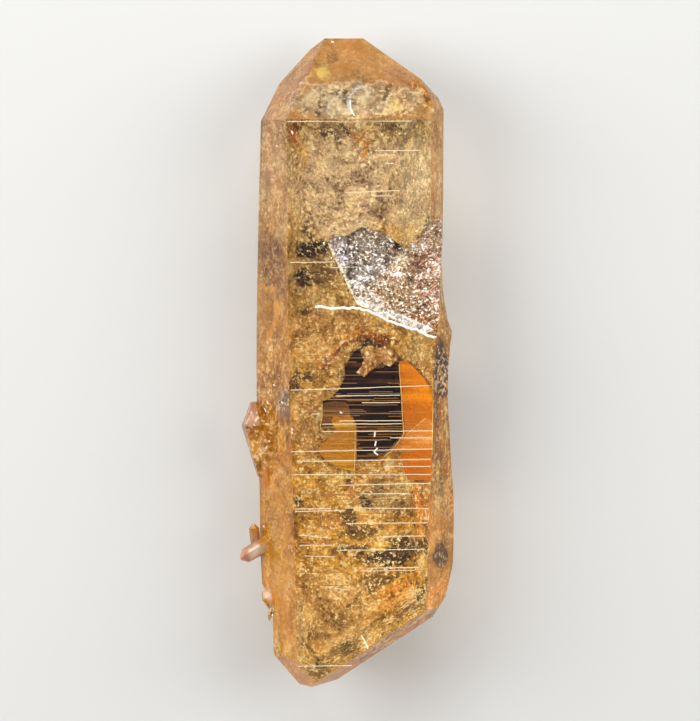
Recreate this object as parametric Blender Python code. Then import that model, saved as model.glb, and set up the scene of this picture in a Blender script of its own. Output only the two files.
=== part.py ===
"""An aura quartz crystal, 76 mm long, lying on its flat back prism face with its point towards +Y.

It is one solid: a six-sided prism that tapers a little, a six-faced point, an obliquely broken
base, a rough break on the front face, and a few small crystals grown on the left side.
Metres, +Z up. X is the crystal's width, Y its length and Z its thickness.
"""
import math

import bmesh
import bpy
from mathutils import Matrix, Vector

MM = 0.001
CRYSTAL_NAME = "aura_quartz_crystal"

# Quartz crystal angles: neighbouring prism faces turn by 60 degrees, and a face of the point
# leans 38.2 degrees from the long axis.
PRISM_TURN = math.radians(60)
POINT_LEAN = math.radians(38.2)
SLOPE = math.tan(PRISM_TURN)

# The thickness from the back face to the front face, in mm.
THICKNESS = 13.8

# The prism's edges along its length, in mm: the place along Y, then the X of the left edge, the
# front face's left edge, its right edge, and the right edge.
PRISM_EDGES = (
    (42.0, -10.00, -7.10, 9.68, 11.22),
    (29.8, -10.05, -7.09, 9.68, 11.22),
    (19.0, -10.35, -7.00, 9.68, 11.18),
    (11.7, -10.50, -6.93, 9.70, 11.02),
    (8.4, -10.55, -6.90, 9.85, 11.14),
    (4.9, -10.60, -6.87, 10.10, 11.70),
    (3.5, -10.62, -6.85, 10.15, 12.24),
    (1.4, -10.63, -6.82, 10.12, 11.95),
    (-0.9, -10.64, -6.78, 10.05, 11.76),
    (-4.5, -10.62, -6.68, 10.00, 11.72),
    (-10.3, -10.40, -6.50, 9.90, 12.05),
    (-16.2, -10.25, -6.30, 9.60, 12.46),
    (-21.5, -10.20, -6.15, 9.35, 12.42),
    (-25.9, -10.00, -6.05, 9.28, 12.30),
    (-28.6, -8.75, -6.00, 9.25, 12.28),
    (-33.2, -8.60, -5.88, 9.15, 12.20),
    (-42.0, -8.50, -5.80, 9.10, 12.10),
)

# The faces of the point: the way each looks, in degrees to the right of the front, and a place on
# it in mm.
POINT_FACES = (
    (0, (0.0, 28.26, THICKNESS)),
    (60, (11.22, 29.50, 11.13)),
    (120, (4.90, 35.77, 7.89)),
    (180, (0.0, 30.21, 0.0)),
    (240, (-7.89, 32.84, 5.10)),
    (300, (-7.07, 28.26, THICKNESS)),
)

# The broken base: for each face, the way it looks and a place on it in mm.
BASE_FACES = (
    ((0.534, -0.806, 0.257), (4.19, -33.60, 9.1)),
    ((0.489, -0.764, -0.420), (4.19, -33.60, 9.1)),
    ((0.300, -0.950, 0.080), (-2.37, -37.50, 9.1)),
    ((0.842, -0.539, 0.050), (11.35, -27.68, 8.8)),
    ((0.967, -0.255, -0.060), (12.28, -24.16, 9.3)),
    ((-0.730, -0.600, 0.330), (-8.47, -34.36, 8.7)),
    ((-0.620, -0.610, -0.500), (-8.47, -34.36, 8.7)),
    ((-0.244, -0.965, 0.090), (-5.89, -37.60, 9.1)),
    ((-0.140, -0.900, -0.410), (-5.89, -37.60, 9.1)),
)

# The break on the front face: its outline seen from the front, in mm, and three places on its floor.
BREAK_OUTLINE = (
    (-2.25, 13.60), (-1.67, 14.80), (-0.30, 14.60), (1.73, 15.70), (4.43, 14.80), (6.42, 13.50),
    (9.10, 12.40), (14.00, 11.50), (14.00, 2.60), (10.05, 2.95), (7.60, 4.00), (4.80, 4.85),
    (2.80, 6.10), (1.14, 6.68),
)
BREAK_FLOOR = ((1.14, 6.68, -0.20), (10.06, 2.93, -0.50), (6.42, 13.49, -2.00))

# A chip above the break, where the front face's right edge is gone.
CHIP_OUTLINE = (
    (14.00, 17.40), (10.90, 16.90), (9.15, 15.70), (7.60, 13.95), (6.70, 12.90), (9.30, 11.60),
    (14.00, 10.60),
)
CHIP_FLOOR = ((7.60, 13.95, -0.15), (11.0, 17.0, -2.20), (11.0, 12.0, -2.45))

# How far the cutters stand above the front face, in mm.
CUTTER_TOP = 4.0

# Neighbouring faces that turn by less than this are one flat face.
FLAT_ENOUGH = math.radians(0.05)

# The small crystals on the left side: the middle of the foot and the tip in mm, the width over the
# flats at the foot and at the shoulder in mm, the share of the length that tapers to the tip, and
# the turn about the axis in degrees.
SIDE_CRYSTALS = (
    ("blunt_crystal", (-9.70, -13.30, 7.40), (-10.90, -4.70, 8.20), 1.50, 3.40, 0.30, 12),
    ("golden_crystal", (-8.90, -14.60, 8.30), (-9.50, -7.10, 9.40), 1.20, 2.20, 0.30, 40),
    ("short_crystal", (-8.90, -21.00, 7.60), (-12.50, -23.05, 7.80), 1.75, 1.60, 0.16, 8),
    ("upright_crystal", (-10.60, -22.30, 7.40), (-11.00, -19.00, 7.50), 1.00, 1.00, 0.16, 25),
    ("low_crystal", (-8.30, -29.20, 8.90), (-9.85, -26.80, 9.00), 1.00, 1.20, 0.30, 15),
    ("needle_crystal", (-8.70, -28.00, 8.60), (-9.15, -30.30, 8.70), 0.60, 0.55, 0.30, 5),
    ("flat_crystal", (-7.60, -34.30, 10.20), (-8.30, -32.40, 10.00), 0.90, 0.95, 0.30, 30),
)


def collection(name):
    """A new collection in the scene."""
    made = bpy.data.collections.new(name)
    bpy.context.scene.collection.children.link(made)
    return made


def object_of(name, bm, into):
    """An object that holds the bmesh, in a collection."""
    mesh = bpy.data.meshes.new(name)
    bmesh.ops.recalc_face_normals(bm, faces=bm.faces)
    bm.to_mesh(mesh)
    bm.free()
    made = bpy.data.objects.new(name, mesh)
    into.objects.link(made)
    return made


def prism_section(along, left, front_left, front_right, right):
    """The six corners of the prism at one place along its length, in metres, from the front-left on."""
    left_height = THICKNESS - (front_left - left) * SLOPE
    right_height = THICKNESS - (right - front_right) * SLOPE
    corners = (
        (front_left, THICKNESS),
        (front_right, THICKNESS),
        (right, right_height),
        (right - right_height / SLOPE, 0.0),
        (left + left_height / SLOPE, 0.0),
        (left, left_height),
    )
    return [Vector((x, along, z)) * MM for x, z in corners]


def lofted_prism():
    """The prism as a loft through its sections, closed at both ends."""
    bm = bmesh.new()
    rings = [[bm.verts.new(corner) for corner in prism_section(*row)] for row in PRISM_EDGES]
    for upper, lower in zip(rings, rings[1:]):
        for side in range(6):
            after = (side + 1) % 6
            bm.faces.new((upper[side], upper[after], lower[after], lower[side]))
    bm.faces.new(rings[0])
    bm.faces.new(rings[-1])
    return bm


def cleave(bm, place, look):
    """Cuts off what lies past a plane through place, in mm, that looks along look, and closes the cut."""
    cut = bmesh.ops.bisect_plane(
        bm,
        geom=bm.verts[:] + bm.edges[:] + bm.faces[:],
        plane_co=Vector(place) * MM,
        plane_no=Vector(look).normalized(),
        clear_outer=True,
        dist=1e-7,
    )
    edges = [item for item in cut["geom_cut"] if isinstance(item, bmesh.types.BMEdge)]
    bmesh.ops.contextual_create(bm, geom=edges)


def point_look(degrees):
    """The way a face of the point looks."""
    turn = math.radians(degrees)
    level = math.cos(POINT_LEAN)
    return Vector((math.sin(turn) * level, math.sin(POINT_LEAN), math.cos(turn) * level))


def main_crystal(into):
    """The large crystal, with its point and its broken base."""
    bm = lofted_prism()
    for degrees, place in POINT_FACES:
        cleave(bm, place, point_look(degrees))
    for look, place in BASE_FACES:
        cleave(bm, place, look)
    bmesh.ops.dissolve_limit(bm, angle_limit=FLAT_ENOUGH, verts=bm.verts, edges=bm.edges)
    bmesh.ops.triangulate(bm, faces=bm.faces)
    return object_of(CRYSTAL_NAME, bm, into)


def outline_cutter(name, outline, floor, into):
    """A cutter that takes away all that lies above a slanting floor inside an outline."""
    curve = bpy.data.curves.new(name, "CURVE")
    curve.dimensions = "2D"
    curve.fill_mode = "BOTH"
    curve.extrude = (THICKNESS + CUTTER_TOP) * MM / 2
    spline = curve.splines.new("POLY")
    spline.points.add(len(outline) - 1)
    spline.use_cyclic_u = True
    for point, (x, y) in zip(spline.points, outline):
        point.co = (x * MM, y * MM, 0, 1)
    drawn = bpy.data.objects.new(name + "_outline", curve)
    into.objects.link(drawn)
    bpy.context.view_layer.update()
    flat = bpy.data.meshes.new_from_object(drawn.evaluated_get(bpy.context.evaluated_depsgraph_get()))
    bpy.data.objects.remove(drawn)

    bm = bmesh.new()
    bm.from_mesh(flat)
    bpy.data.meshes.remove(flat)
    bmesh.ops.remove_doubles(bm, verts=bm.verts, dist=1e-6)
    bmesh.ops.translate(bm, verts=bm.verts, vec=(0, 0, (THICKNESS + CUTTER_TOP) * MM / 2))
    first, second, third = (Vector((x, y, THICKNESS + below)) for x, y, below in floor)
    down = (second - first).cross(third - first).normalized()
    if down.z > 0:
        down.negate()
    cleave(bm, first, down)
    bmesh.ops.triangulate(bm, faces=bm.faces)
    return object_of(name, bm, into)


def side_crystal(name, foot, tip, foot_width, shoulder_width, taper, turn, into):
    """A small six-sided crystal with a blunt point, from its foot to its tip."""
    start, end = Vector(foot) * MM, Vector(tip) * MM
    length = (end - start).length
    shaft = length * (1 - taper)
    bm = bmesh.new()
    bmesh.ops.create_cone(
        bm, cap_ends=True, segments=6, radius1=foot_width * MM / math.sqrt(3),
        radius2=shoulder_width * MM / math.sqrt(3), depth=shaft,
        matrix=Matrix.Translation((0, 0, shaft / 2)),
    )
    top = max(bm.faces, key=lambda face: face.calc_center_median().z)
    raised = bmesh.ops.extrude_discrete_faces(bm, faces=[top])["faces"][0]
    bmesh.ops.translate(bm, verts=raised.verts, vec=(0, 0, length * taper))
    bmesh.ops.scale(
        bm, verts=raised.verts, vec=(0.22, 0.42, 1), space=Matrix.Translation((0, 0, -length))
    )
    bmesh.ops.triangulate(bm, faces=bm.faces)
    made = object_of(name, bm, into)
    lean = (end - start).to_track_quat("Z", "Y").to_matrix().to_4x4()
    made.matrix_world = Matrix.Translation(start) @ lean @ Matrix.Rotation(math.radians(turn), 4, "Z")
    return made


def combine(target, other, operation):
    """Joins or cuts the target with another object, which is then only a guide."""
    modifier = target.modifiers.new(other.name, "BOOLEAN")
    modifier.operation = operation
    modifier.solver = "EXACT"
    modifier.object = other
    other.hide_render = True
    other.display_type = "WIRE"


def quartz_material():
    """Clear golden quartz under a thin metal coating."""
    made = bpy.data.materials.new("golden_aura_quartz")
    made.use_nodes = True
    shader = next(node for node in made.node_tree.nodes if node.type == "BSDF_PRINCIPLED")
    shader.inputs["Base Color"].default_value = (0.86, 0.58, 0.26, 1)
    shader.inputs["Roughness"].default_value = 0.06
    shader.inputs["Metallic"].default_value = 0.0
    shader.inputs["IOR"].default_value = 1.544
    shader.inputs["Transmission Weight"].default_value = 1.0
    return made


def stand_at_origin(crystal, pieces):
    """Moves all pieces so that the middle of the crystal's box, at its lowest level, is at the origin."""
    bpy.context.view_layer.update()
    evaluated = crystal.evaluated_get(bpy.context.evaluated_depsgraph_get())
    corners = [evaluated.matrix_world @ vertex.co for vertex in evaluated.data.vertices]
    low = Vector([min(corner[axis] for corner in corners) for axis in range(3)])
    high = Vector([max(corner[axis] for corner in corners) for axis in range(3)])
    shift = Vector(((low.x + high.x) / 2, (low.y + high.y) / 2, low.z))
    for piece in pieces:
        piece.location -= shift


def main():
    for leftover in list(bpy.data.objects):
        bpy.data.objects.remove(leftover)
    parts = collection("aura_quartz")
    guides = collection("guides")

    crystal = main_crystal(parts)
    crystal.data.materials.append(quartz_material())
    cutters = [
        outline_cutter("break_cutter", BREAK_OUTLINE, BREAK_FLOOR, guides),
        outline_cutter("chip_cutter", CHIP_OUTLINE, CHIP_FLOOR, guides),
    ]
    small = [side_crystal(*row, guides) for row in SIDE_CRYSTALS]
    for cutter in cutters:
        combine(crystal, cutter, "DIFFERENCE")
    for grown in small:
        combine(crystal, grown, "UNION")
    stand_at_origin(crystal, [crystal, *cutters, *small])


main()
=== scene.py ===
import math
import random

import bmesh
import bpy
import numpy as np
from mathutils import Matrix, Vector, noise
from mathutils.bvhtree import BVHTree


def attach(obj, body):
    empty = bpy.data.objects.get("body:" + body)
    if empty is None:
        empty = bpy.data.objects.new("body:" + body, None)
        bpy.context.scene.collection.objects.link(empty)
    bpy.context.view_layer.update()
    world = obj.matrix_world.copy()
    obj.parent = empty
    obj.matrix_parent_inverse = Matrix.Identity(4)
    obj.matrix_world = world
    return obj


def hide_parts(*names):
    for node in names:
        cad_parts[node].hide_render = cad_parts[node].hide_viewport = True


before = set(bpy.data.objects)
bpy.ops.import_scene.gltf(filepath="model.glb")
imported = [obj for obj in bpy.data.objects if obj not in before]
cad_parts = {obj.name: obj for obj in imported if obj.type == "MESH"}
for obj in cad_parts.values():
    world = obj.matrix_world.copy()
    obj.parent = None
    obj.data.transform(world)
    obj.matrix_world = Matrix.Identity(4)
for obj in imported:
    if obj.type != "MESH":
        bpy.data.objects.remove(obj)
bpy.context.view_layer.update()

MM = 0.001
NODE = "aura_quartz_crystal"

# The height of the front face, and how far the main edges are worn, in mm.
FRONT = 13.8
WORN = 0.09

# How far inside the back faces the rough growth and the smooth panes lie, in mm. The smaller panes lie
# a little further in. Above the clearing height the growth covers only part of the side faces.
GROWTH_DEPTH = 0.35
PANE_DEPTH = 1.0
PANE_THICKNESS = 0.05
CLEARING_HEIGHT = 3.2
CLEARED_COVER = 0.62

# How far the frosted film stands off the faces, and the height above which it has thin and thick
# places, in mm. The film hides this share of the worn edges.
FILM_LIFT = 0.02
FILM_CHANGES = 7.5
RIM_COVER = 0.75

# How often a mesh is cut finer at most, and how many fine growth lines are tried.
MOST_ROUNDS = 12
MOST_FINE_LINES = 110

# How much of the red, green and blue light comes back through the quartz.
THROUGH_QUARTZ = np.array((0.84, 0.77, 0.74))


# Colours and materials

def linear(red, green, blue):
    """A screen colour, 0 to 255, as linear values."""
    return tuple((value / 255) ** 2.2 for value in (red, green, blue))


def seen_inside(red, green, blue):
    """The paint that shows this screen colour when it is seen through the quartz."""
    return tuple(np.clip(np.array(linear(red, green, blue)) / THROUGH_QUARTZ, 0, 0.95))


def material(name, **plain):
    """A new material with these plain values on its Principled shader."""
    made = bpy.data.materials.new(name)
    made.use_nodes = True
    shader = next(node for node in made.node_tree.nodes if node.type == "BSDF_PRINCIPLED")
    for socket, value in plain.items():
        shader.inputs[socket.replace("_", " ")].default_value = value
    return made, shader


def join(tree, value, socket):
    """Puts a value, or the output of another node, on a socket."""
    if isinstance(value, bpy.types.NodeSocket):
        tree.links.new(value, socket)
    else:
        socket.default_value = value


def add(tree, kind, **settings):
    """A new node with these settings. A setting that names an input is put on that input."""
    node = tree.nodes.new(kind)
    for name, value in settings.items():
        if hasattr(node, name):
            setattr(node, name, value)
        else:
            join(tree, value, node.inputs[name.replace("_", " ")])
    return node


def calculated(tree, operation, first, second=0.0, clamp=False):
    """A sum, a product or the like, of two values."""
    node = add(tree, "ShaderNodeMath", operation=operation, use_clamp=clamp)
    join(tree, first, node.inputs[0])
    join(tree, second, node.inputs[1])
    return node.outputs["Value"]


def ranged(tree, value, low, high, start=0.0, end=1.0):
    """A value taken from one range to another."""
    node = add(tree, "ShaderNodeMapRange", Value=value)
    for socket, number in (("From Min", low), ("From Max", high), ("To Min", start), ("To Max", end)):
        node.inputs[socket].default_value = number
    return node.outputs["Result"]


def mixed(tree, blend, amount, first, second):
    """Two colours mixed."""
    node = add(tree, "ShaderNodeMix", data_type="RGBA", blend_type=blend)
    for socket, value in ((node.inputs[0], amount), (node.inputs[6], first), (node.inputs[7], second)):
        join(tree, value, socket)
    return node.outputs[2]


def new_group(name, inputs, outputs):
    """A shader node group with number inputs and outputs."""
    group = bpy.data.node_groups.new(name, "ShaderNodeTree")
    for label, value in inputs:
        group.interface.new_socket(label, in_out="INPUT", socket_type="NodeSocketFloat").default_value = value
    for label in outputs:
        group.interface.new_socket(label, in_out="OUTPUT", socket_type="NodeSocketFloat")
    return group, add(group, "NodeGroupInput"), add(group, "NodeGroupOutput")


def crackle_group():
    """Fine crackle: an uneven shade, and crisp bright and dark flecks in loose clumps. The bright flecks are
    painted glints.
    """
    group, given, out = new_group(
        "crackle_and_glints", (("Fleck Size", 2000.0), ("Clump Size", 500.0)), ("Shade", "Bright", "Dark"),
    )
    place = add(group, "ShaderNodeTexCoord").outputs["Object"]
    fleck_size, clump_size = given.outputs["Fleck Size"], given.outputs["Clump Size"]
    clumps = add(
        group, "ShaderNodeTexNoise", Vector=place, Scale=clump_size, Detail=3.0, Distortion=0.8,
    ).outputs["Fac"]
    flecks = add(
        group, "ShaderNodeTexNoise", Vector=place, Scale=fleck_size, Detail=4.0, Roughness=0.62,
        Distortion=0.6,
    ).outputs["Fac"]
    cells = add(group, "ShaderNodeTexVoronoi", Vector=place, Scale=fleck_size)
    cell = add(group, "ShaderNodeSeparateColor", Color=cells.outputs["Color"])
    lively = calculated(group, "ADD", flecks, calculated(group, "MULTIPLY", cell.outputs["Red"], 0.16))
    both = calculated(group, "ADD", clumps, flecks)
    join(group, ranged(group, both, 0.8, 1.2, 0.48, 1.26), out.inputs["Shade"])
    # The bright flecks are painted glints.
    bright = calculated(group, "ADD", lively, calculated(group, "MULTIPLY", clumps, 0.45))
    join(group, ranged(group, bright, 0.86, 0.93), out.inputs["Bright"])
    dark = calculated(group, "ADD", lively, calculated(group, "MULTIPLY", clumps, 0.6))
    join(group, ranged(group, dark, 0.76, 0.62), out.inputs["Dark"])
    return group


def crackled(tree, colour, fleck, clump, bright, dark, amount=1.0):
    """A colour with crackle over it, and the crackle node. The crackle's bright flecks are painted glints."""
    node = add(tree, "ShaderNodeGroup")
    node.node_tree = crackle_and_glints
    node.inputs["Fleck Size"].default_value = fleck
    node.inputs["Clump Size"].default_value = clump
    final = mixed(tree, "MULTIPLY", amount, colour, node.outputs["Shade"])
    for label, fleck_colour in (("Bright", bright), ("Dark", dark)):
        share = calculated(tree, "MULTIPLY", node.outputs[label], amount)
        final = mixed(tree, "MIX", share, final, (*fleck_colour, 1))
    return final, node


def quartz_material():
    """Clear golden quartz with a thin coating. Light passes it unbent on its way to what is inside."""
    made, shader = material(
        "golden_quartz", Base_Color=(0.99, 0.95, 0.86, 1), Roughness=0.03, IOR=1.544,
        Transmission_Weight=1.0, Thin_Film_Thickness=180.0, Thin_Film_IOR=1.7,
    )
    tree = made.node_tree
    output = next(node for node in tree.nodes if node.type == "OUTPUT_MATERIAL")
    tint = add(tree, "ShaderNodeVolumeAbsorption", Color=(0.94, 0.72, 0.38, 1), Density=25.0)
    tree.links.new(tint.outputs["Volume"], output.inputs["Volume"])
    path = add(tree, "ShaderNodeLightPath")
    clear = add(tree, "ShaderNodeBsdfTransparent", Color=(0.96, 0.93, 0.87, 1))
    choose = add(tree, "ShaderNodeMixShader")
    tree.links.new(path.outputs["Is Shadow Ray"], choose.inputs[0])
    tree.links.new(shader.outputs["BSDF"], choose.inputs[1])
    tree.links.new(clear.outputs["BSDF"], choose.inputs[2])
    tree.links.new(choose.outputs["Shader"], output.inputs["Surface"])
    return made


def growth_material(name, fleck, clump, bright, dark, amount=1.0, **plain):
    """A growth that takes its colour from its tint attribute, with crackle over it, whose bright flecks are
    painted glints.
    """
    made, shader = material(name, **plain)
    tree = made.node_tree
    tint = add(tree, "ShaderNodeVertexColor", layer_name="tint")
    final, grain = crackled(tree, tint.outputs["Color"], fleck, clump, bright, dark, amount)
    tree.links.new(final, shader.inputs["Base Color"])
    patchy = ranged(tree, grain.outputs["Shade"], 0.5, 1.34, -0.3, 0.3)
    uneven = calculated(tree, "ADD", tint.outputs["Alpha"], patchy)
    cover = calculated(tree, "MAXIMUM", uneven, ranged(tree, tint.outputs["Alpha"], 0.9, 1.0), clamp=True)
    tree.links.new(cover, shader.inputs["Alpha"])
    return made


def streaks_group():
    """Soft lighter and darker streaks along the crystal: a painted satin sheen."""
    group, given, out = new_group("soft_streaks", (("Streak Size", 500.0),), ("Streak", "Warmth"))
    place = add(group, "ShaderNodeTexCoord").outputs["Object"]
    drawn_out = add(group, "ShaderNodeMapping", Vector=place)
    drawn_out.inputs["Scale"].default_value = (1.0, 0.35, 1.0)
    for label, size in (("Streak", 1.0), ("Warmth", 0.45)):
        scale = calculated(group, "MULTIPLY", given.outputs["Streak Size"], size)
        soft = add(
            group, "ShaderNodeTexNoise", Vector=drawn_out.outputs["Vector"], Scale=scale, Detail=5.0,
            Roughness=0.6, Distortion=0.5,
        )
        join(group, ranged(group, soft.outputs["Fac"], 0.3, 0.7), out.inputs[label])
    return group


def film_material():
    """A frosted coat that hides more or less of what is under it. Its lighter and darker streaks are a
    painted satin sheen, and its bright flecks painted glints.
    """
    made, shader = material("frosted_film", Roughness=0.16, Specular_IOR_Level=0.4)
    tree = made.node_tree
    tint = add(tree, "ShaderNodeVertexColor", layer_name="tint")
    amount = add(tree, "ShaderNodeAttribute", attribute_name="grain").outputs["Fac"]
    # Its bright flecks are painted glints.
    grainy, grain = crackled(
        tree, tint.outputs["Color"], 2200.0, 450.0, linear(244, 214, 160), linear(92, 66, 40), amount,
    )
    streaks = add(tree, "ShaderNodeGroup")
    streaks.node_tree = streaks_group()
    # Painted sheen: the streaks make the coat lighter and darker.
    shade = ranged(tree, streaks.outputs["Streak"], 0, 1, 0.62, 1.24)
    streaked = mixed(tree, "MULTIPLY", 1.0, grainy, shade)
    warm = ranged(tree, streaks.outputs["Warmth"], 0.2, 1, 0, 0.45)
    final = mixed(tree, "MULTIPLY", warm, streaked, (1.06, 0.9, 0.62, 1))
    tree.links.new(final, shader.inputs["Base Color"])
    uneven = ranged(tree, grain.outputs["Shade"], 0.5, 1.34, 1.22, 0.78)
    cover = calculated(tree, "MULTIPLY", tint.outputs["Alpha"], uneven, clamp=True)
    tree.links.new(cover, shader.inputs["Alpha"])
    return made


def bands_group():
    """Fine growth lines across the crystal, and a soft grain."""
    group, given, out = new_group("growth_bands", (("Band Size", 1700.0),), ("Band", "Grain"))
    place = add(group, "ShaderNodeTexCoord").outputs["Object"]
    stretched = add(group, "ShaderNodeMapping", Vector=place)
    stretched.inputs["Scale"].default_value = (0.05, 1.0, 0.05)
    size = given.outputs["Band Size"]
    lines = add(group, "ShaderNodeTexNoise", Vector=stretched.outputs["Vector"], Scale=size, Detail=3.0)
    join(group, ranged(group, lines.outputs["Fac"], 0.5, 0.68), out.inputs["Band"])
    fine = add(group, "ShaderNodeTexNoise", Vector=place, Scale=3500.0, Detail=2.0)
    join(group, ranged(group, fine.outputs["Fac"], 0.3, 0.7, 0.8, 1.2), out.inputs["Grain"])
    return group


def banded_material(name, colour, band_colour, band_size, **plain):
    """A smooth growth face with fine lines across the crystal."""
    made, shader = material(name, **plain)
    tree = made.node_tree
    node = add(tree, "ShaderNodeGroup")
    node.node_tree = growth_bands
    node.inputs["Band Size"].default_value = band_size
    lined = mixed(tree, "MIX", node.outputs["Band"], (*colour, 1), (*band_colour, 1))
    grainy = mixed(tree, "MULTIPLY", 1.0, lined, node.outputs["Grain"])
    tree.links.new(grainy, shader.inputs["Base Color"])
    return made


# Shapes

def crystal_copy():
    """The CAD solid as one joined mesh with its flat faces whole."""
    bm = bmesh.new()
    bm.from_mesh(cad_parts[NODE].data)
    bmesh.ops.remove_doubles(bm, verts=bm.verts, dist=2e-6)
    bmesh.ops.dissolve_limit(bm, angle_limit=math.radians(0.3), verts=bm.verts, edges=bm.edges)
    return bm


def worn_copy():
    """The crystal with its main edges worn."""
    bm = crystal_copy()
    shortest, flattest = 0.6 * MM, math.radians(12)
    worn = [
        edge for edge in bm.edges
        if edge.calc_length() > shortest and len(edge.link_faces) == 2 and edge.calc_face_angle(0) > flattest
    ]
    bmesh.ops.bevel(
        bm, geom=worn, offset=WORN * MM, offset_type="OFFSET", segments=1, profile=0.5, affect="EDGES",
        clamp_overlap=True,
    )
    bmesh.ops.remove_doubles(bm, verts=bm.verts, dist=2e-6)
    bm.normal_update()
    return bm


def inset(bm, depth):
    """Moves every face inwards by this depth in mm."""
    moves = {}
    for vertex in bm.verts:
        normals = []
        for face in vertex.link_faces:
            if all(face.normal.dot(other) < 0.999 for other in normals):
                normals.append(face.normal.copy())
        solved = np.linalg.lstsq(np.array(normals), np.full(len(normals), -depth * MM), rcond=0.05)[0]
        step = Vector(solved)
        if step.length > 3 * abs(depth) * MM:
            step.length = 3 * abs(depth) * MM
        moves[vertex] = step
    for vertex, step in moves.items():
        vertex.co += step


def triangulate(bm):
    """Cuts the faces with more than three sides into triangles."""
    bmesh.ops.triangulate(bm, faces=[face for face in bm.faces if len(face.verts) > 3])


def refine(bm, longest):
    """Cuts the edges until none is longer than this length in mm."""
    triangulate(bm)
    for _ in range(MOST_ROUNDS):
        long_ones = [edge for edge in bm.edges if edge.calc_length() > longest * MM]
        if not long_ones:
            break
        bmesh.ops.subdivide_edges(bm, edges=long_ones, cuts=1)
        triangulate(bm)
    bm.normal_update()


def refine_some(bm, longest, wanted):
    """Cuts the edges of the wanted faces until none is longer than this length in mm."""
    for _ in range(MOST_ROUNDS):
        long_ones = {
            edge for face in bm.faces if wanted(face)
            for edge in face.edges if edge.calc_length() > longest * MM
        }
        if not long_ones:
            break
        bmesh.ops.subdivide_edges(bm, edges=list(long_ones), cuts=1)
        triangulate(bm)
    bm.normal_update()


def finished(name, bm, look, smooth=False):
    """The mesh as a piece of the object that moves with its one body."""
    mesh = bpy.data.meshes.new(name)
    bm.to_mesh(mesh)
    bm.free()
    mesh.validate()
    return placed(name, mesh, look, smooth)


def placed(name, mesh, look, smooth=False):
    """A piece of the object made from a mesh."""
    made = bpy.data.objects.new(name, mesh)
    bpy.context.scene.collection.objects.link(made)
    if look.name not in mesh.materials:
        mesh.materials.clear()
        mesh.materials.append(look)
    for polygon in mesh.polygons:
        polygon.use_smooth = smooth
    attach(made, "root")
    return made


# The crystal's outside, for finding heights on it
outer = crystal_copy()
surface = BVHTree.FromBMesh(outer)
outer.free()


def back_at(x, y):
    """The height of the crystal's underside in mm, and the way it faces, at a place."""
    hit, normal, _, _ = surface.ray_cast(Vector((x, y, -5)) * MM, Vector((0, 0, 1)))
    return (None, None) if hit is None else (hit.z / MM, normal)


def height_inside(x, y, depth):
    """The height in mm of a place at a depth inside the crystal's underside."""
    height, normal = back_at(x, y)
    return height + depth / max(0.3, -normal.z)


def front_at(x, y):
    """The height of the crystal's upper side in mm, and the way it faces, at a place."""
    hit, normal, _, _ = surface.ray_cast(Vector((x, y, 30)) * MM, Vector((0, 0, -1)))
    return (None, None) if hit is None else (hit.z / MM, normal)


def store_value(piece, name, values):
    """Keeps a number for each of the piece's points."""
    piece.data.attributes.new(name, "FLOAT", "POINT").data.foreach_set("value", values)


def points_of(piece):
    """The piece's points in mm."""
    flat = np.empty(len(piece.data.vertices) * 3)
    piece.data.vertices.foreach_get("co", flat)
    return flat.reshape(-1, 3) / MM


def store_tint(piece, tints, cover=1.0):
    """Keeps the tints on the piece's points, with the share that they cover."""
    layer = piece.data.color_attributes.new("tint", "FLOAT_COLOR", "POINT")
    covers = np.broadcast_to(cover, (len(tints),))[:, None]
    layer.data.foreach_set("color", np.concatenate([tints, covers], axis=1).ravel())


# Zones of colour

def smooth_step(low, high, value):
    """Goes softly from 0 at the low value to 1 at the high one."""
    share = np.clip((value - low) / (high - low), 0, 1)
    return share * share * (3 - 2 * share)


def along_y(places, levels):
    """Colours that change along the crystal, from pairs of a place in mm and a colour."""
    ordered = sorted(levels)
    shades = np.array([linear(*colour) for _, colour in ordered])
    known = [y for y, _ in ordered]
    return np.stack([np.interp(places[:, 1], known, shade) for shade in shades.T], axis=1)


def wandered(places, ragged):
    """The places seen from the front, moved about by soft noise, and a finer noise for each."""
    wide, fine, other = 0.9, 2.6, Vector((31, 7, 3))
    wander = np.array([
        (noise.noise(p * wide), noise.noise(p * wide + other), noise.noise(p * fine))
        for p in map(Vector, places)
    ])
    return places[:, :2] + wander[:, :2] * ragged * 0.8, wander[:, 2] * ragged


def oval_share(flat, fine, middle, half, turn):
    """How far each place lies inside an oval, 0 to 1, with a ragged border."""
    cos, sin = math.cos(math.radians(turn)), math.sin(math.radians(turn))
    x, y = flat[:, 0] - middle[0], flat[:, 1] - middle[1]
    reach = np.hypot((x * cos + y * sin) / half[0], (y * cos - x * sin) / half[1]) + fine * 0.35
    return smooth_step(1.25, 0.75, reach)


def stroke_share(flat, fine, path, half_width):
    """How far each place lies on a stroke along a path, 0 to 1."""
    nearest = np.full(len(flat), 1e9)
    for (ax, ay), (bx, by) in zip(path, path[1:]):
        along = np.array((bx - ax, by - ay))
        share = np.clip(((flat - (ax, ay)) @ along) / (along @ along), 0, 1)
        gap = flat - (np.array((ax, ay)) + share[:, None] * along)
        nearest = np.minimum(nearest, np.hypot(gap[:, 0], gap[:, 1]))
    return smooth_step(1.3, 0.6, nearest / half_width + fine * 0.4)


def zoned(places, tints, zones, strokes=(), ragged=1.0):
    """The tints with ovals and strokes of colour laid over them."""
    flat, fine = wandered(places, ragged)
    for _, middle, half, turn, colour, strength in zones:
        weight = strength * oval_share(flat, fine, middle, half, turn)[:, None]
        tints = tints * (1 - weight) + np.array(linear(*colour)) * weight
    for _, path, half_width, colour, strength in strokes:
        weight = strength * stroke_share(flat, fine, path, half_width)[:, None]
        tints = tints * (1 - weight) + np.array(linear(*colour)) * weight
    return tints


crackle_and_glints = crackle_group()
growth_bands = bands_group()
quartz = quartz_material()


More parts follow.
